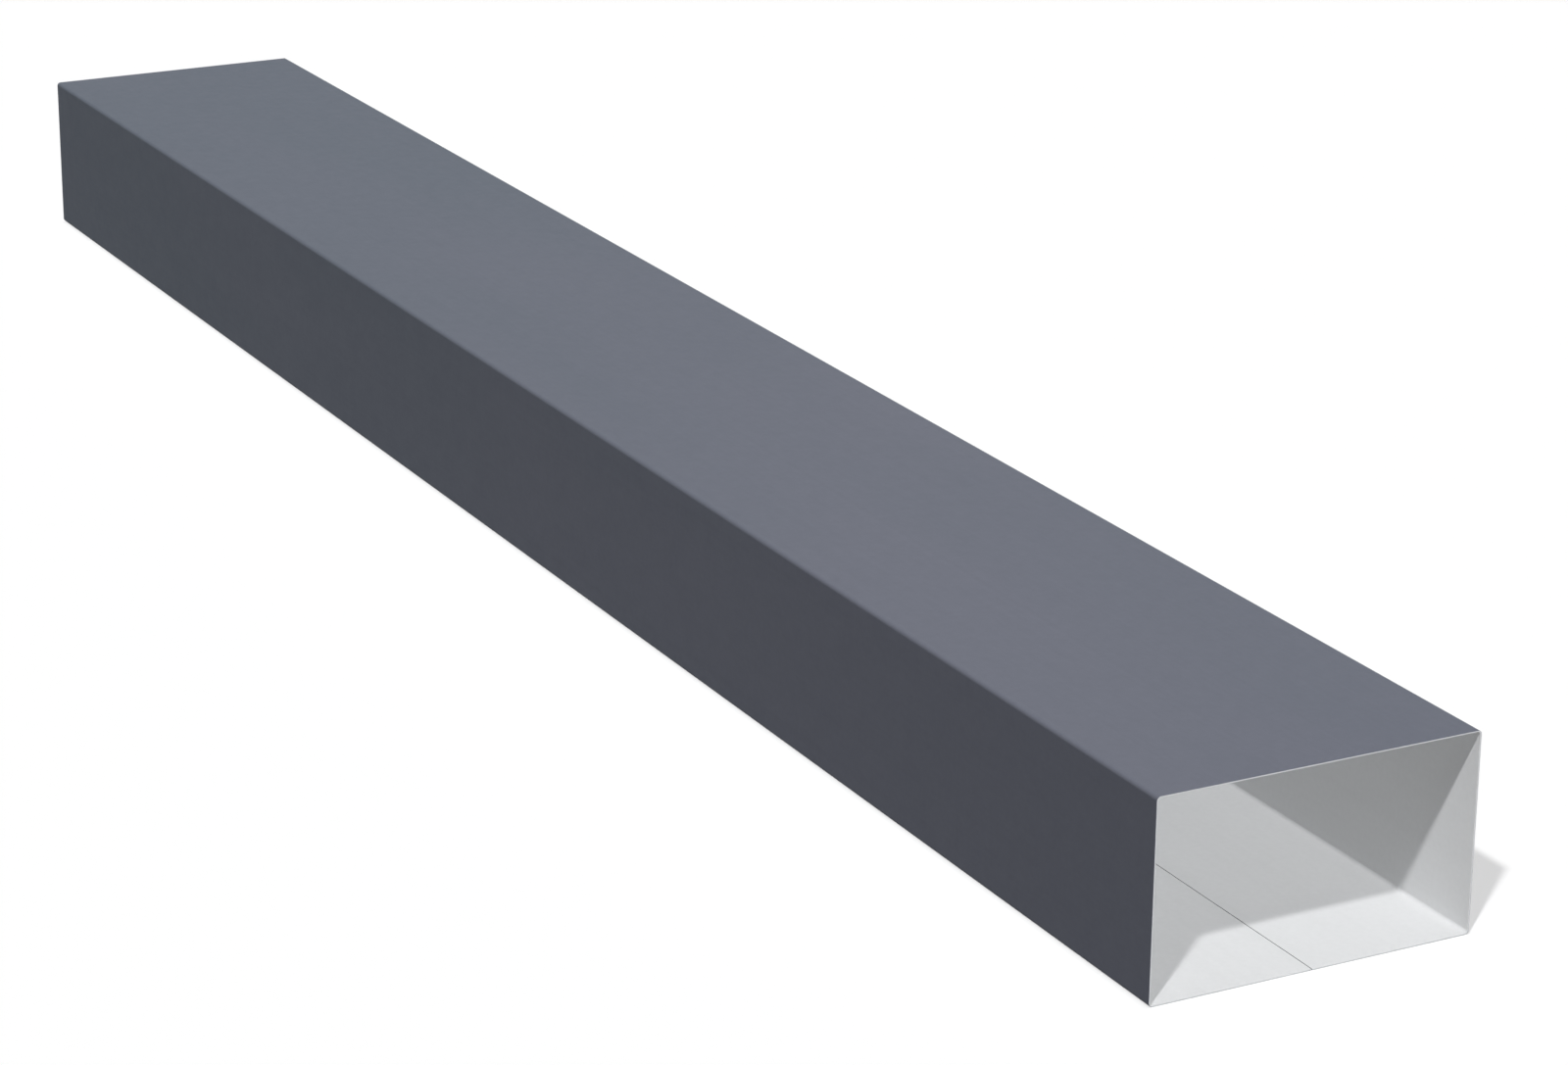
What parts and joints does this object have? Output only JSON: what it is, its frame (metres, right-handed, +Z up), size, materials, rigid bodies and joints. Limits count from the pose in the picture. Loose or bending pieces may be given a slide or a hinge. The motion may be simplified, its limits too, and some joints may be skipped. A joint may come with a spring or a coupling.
{
  "type": "rectangular downpipe",
  "caption": "Straight rectangular rainwater downpipe folded from thin coated sheet, open at both ends, with a butt seam along one wide wall.",
  "frame": {"origin": "middle of the face that the pipe lies on, the outside of the wide wall with the seam", "axes": "+X along the length, +Y across the width, +Z up through the height of the section"},
  "size_m": [1, 0.12, 0.07],
  "materials": {
    "coated_sheet": "satin"
  },
  "bodies": {
    "root": {"downpipe": "coated_sheet"}
  },
  "joints": []
}
